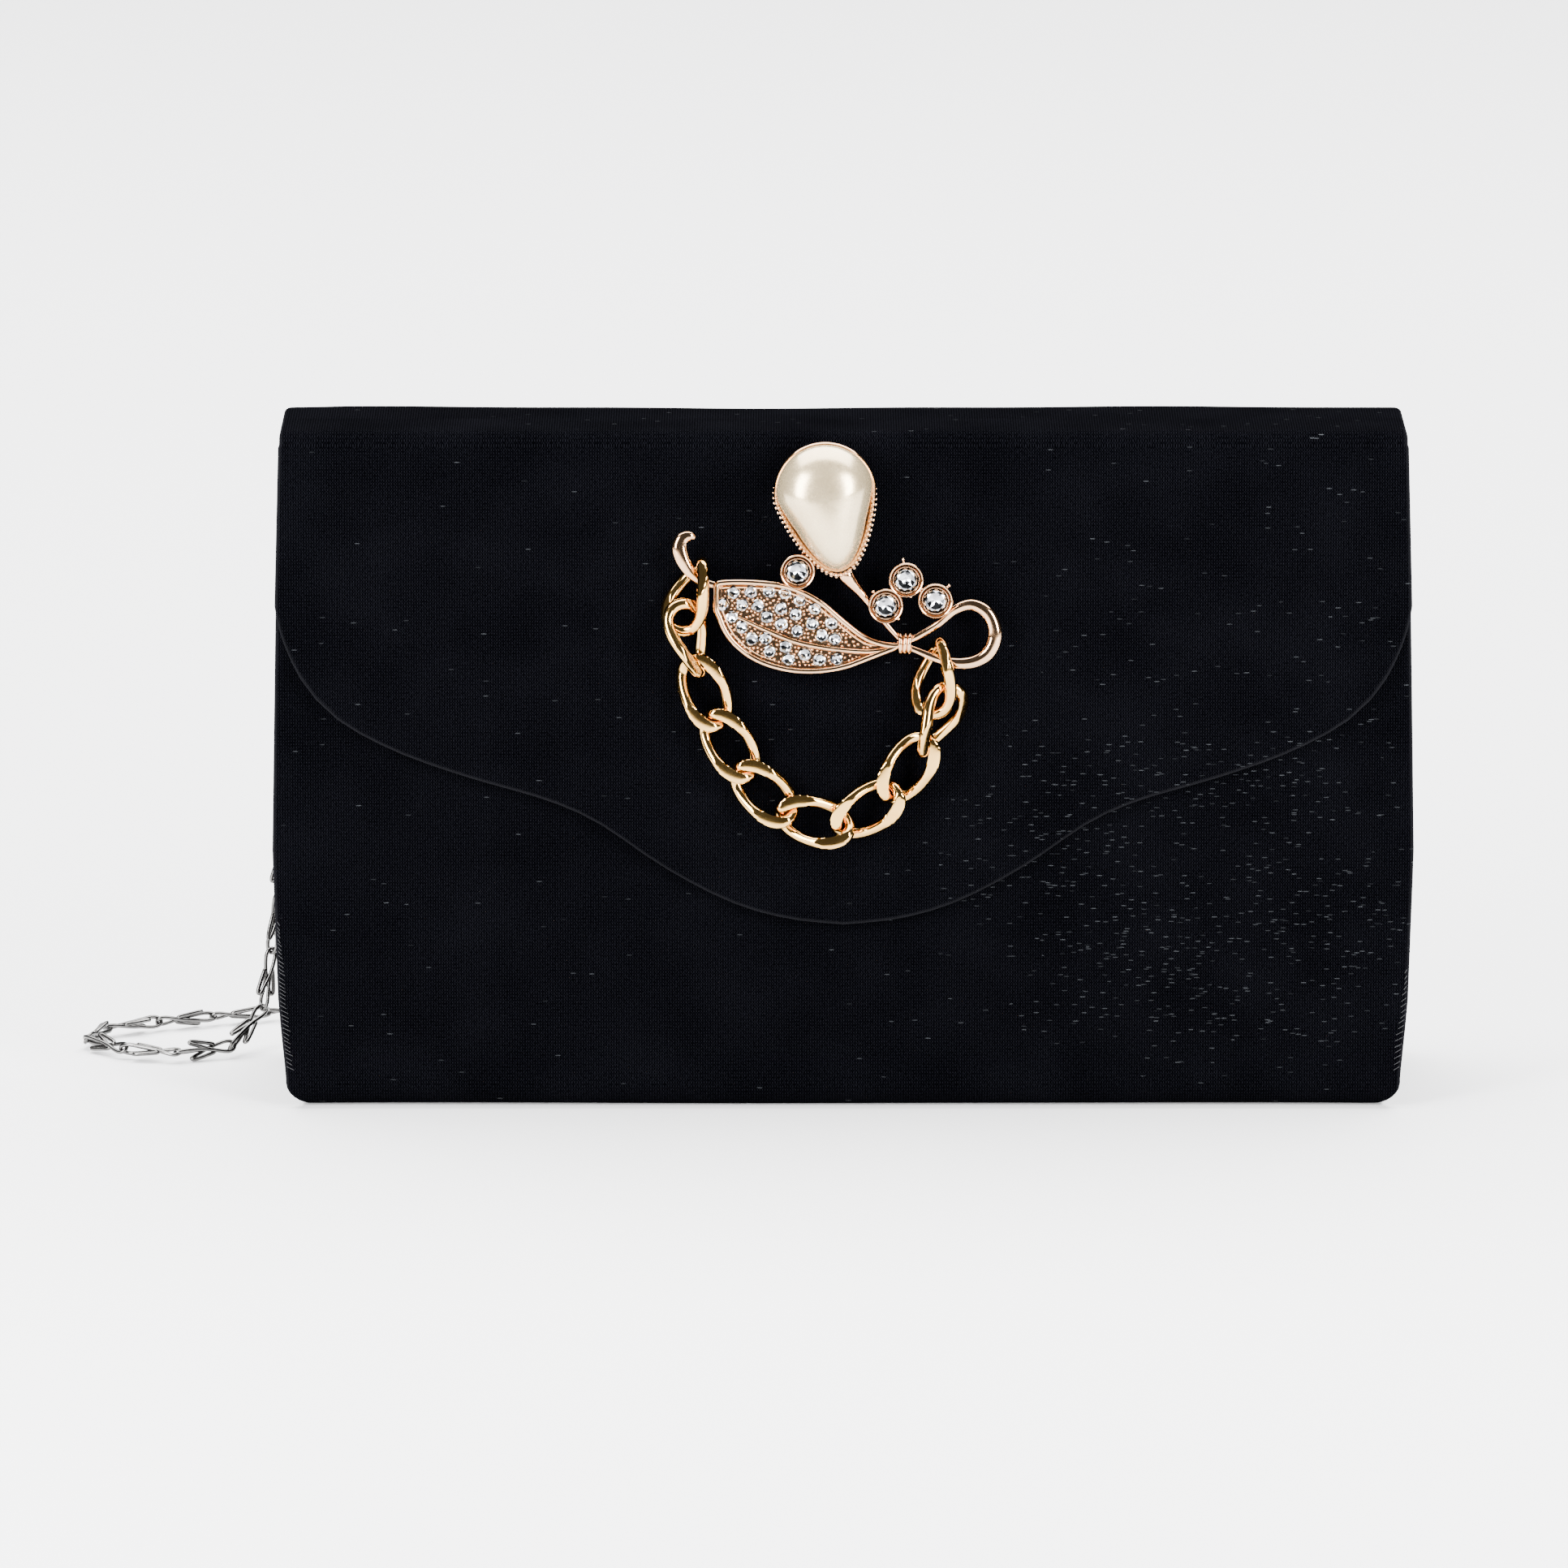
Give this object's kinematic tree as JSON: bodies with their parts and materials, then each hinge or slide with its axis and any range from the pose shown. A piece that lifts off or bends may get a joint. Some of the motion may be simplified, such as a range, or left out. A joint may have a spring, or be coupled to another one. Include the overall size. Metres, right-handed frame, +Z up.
{
  "type": "evening bag",
  "caption": "Envelope evening clutch with a wide ogee flap over a snap, bellows side walls, a jewelled pearl brooch with a draped curb chain, and a fine wire chain strap.",
  "frame": {"origin": "centre of the flat underside, on the surface the bag stands on", "axes": "+X along the width to the viewer's right of the flap side, +Y from the flap side to the back, +Z up"},
  "size_m": [0.2598, 0.1153, 0.1314],
  "materials": {
    "black_fabric": "fine ribbed weave with sparse metallic threads",
    "black_satin": "satin lining",
    "rose_gold": "polished rose gold plating on cast metal",
    "yellow_gold": "polished yellow gold plating",
    "silver_wire": "bright plated wire",
    "snap_steel": "satin nickel",
    "ivory_pearl": "pearlescent lacquer",
    "crystal": "faceted clear crystal"
  },
  "bodies": {
    "body": {"back_panel": "black_fabric", "bottom_panel": "black_fabric", "gusset_left": "black_fabric", "gusset_right": "black_fabric", "lining_back": "black_satin", "lining_bottom": "black_satin", "slip_pocket": "black_satin", "ring_tab_left": "black_fabric", "ring_tab_right": "black_fabric", "d_ring_left": "silver_wire", "d_ring_right": "silver_wire", "strap_left": "silver_wire", "strap_coil": "silver_wire", "strap_right": "silver_wire"},
    "front": {"front_panel": "black_fabric", "lining_front": "black_satin", "snap_socket": "snap_steel", "snap_backplate": "snap_steel"},
    "spine": {"spine_strip": "black_fabric"},
    "flap": {"flap_panel": "black_fabric", "flap_facing": "black_satin", "snap_stud": "snap_steel", "brooch_leaf": "rose_gold", "leaf_stones": "crystal", "brooch_loop": "rose_gold", "brooch_binding": "rose_gold", "pearl_cup": "rose_gold", "pearl": "ivory_pearl", "setting_single": "rose_gold", "setting_cluster_top": "rose_gold", "setting_cluster_left": "rose_gold", "setting_cluster_right": "rose_gold", "stone_single": "crystal", "stone_cluster_top": "crystal", "stone_cluster_left": "crystal", "stone_cluster_right": "crystal", "post_nut_leaf_left": "rose_gold", "post_nut_leaf_right": "rose_gold", "post_nut_pearl": "rose_gold"},
    "brooch_chain": {"chain_link_01": "yellow_gold", "chain_link_02": "yellow_gold", "chain_link_03": "yellow_gold", "chain_link_04": "yellow_gold", "chain_link_05": "yellow_gold", "chain_link_06": "yellow_gold", "chain_link_07": "yellow_gold", "chain_link_08": "yellow_gold", "chain_link_09": "yellow_gold", "chain_link_10": "yellow_gold"}
  },
  "joints": [
    {"name": "spine_lift", "type": "hinge", "parent": "body", "child": "spine", "pos_m": [0, 0.01199, 0.1302], "axis": [-1, 0, 0], "range_deg": [0, 90]},
    {"name": "flap_fold", "type": "hinge", "parent": "spine", "child": "flap", "pos_m": [0, -0.01606, 0.1302], "axis": [-1, 0, 0], "range_deg": [0, 90]},
    {"name": "front_tilt", "type": "hinge", "parent": "body", "child": "front", "pos_m": [0, -0.02301, 0.00585], "axis": [1, 0, 0], "range_deg": [0, 5], "deforming": ["gusset_left", "gusset_right"]},
    {"name": "chain_swing", "type": "hinge", "parent": "flap", "child": "brooch_chain", "pos_m": [-0.0049, -0.02433, 0.09608], "axis": [-0.9441, 0.0274, 0.3287], "range_deg": [0, 30]}
  ],
  "couplings": [
    {"joint": "flap_fold", "follows": "spine_lift", "ratio": 1},
    {"joint": "front_tilt", "follows": "spine_lift", "ratio": 0.05}
  ]
}
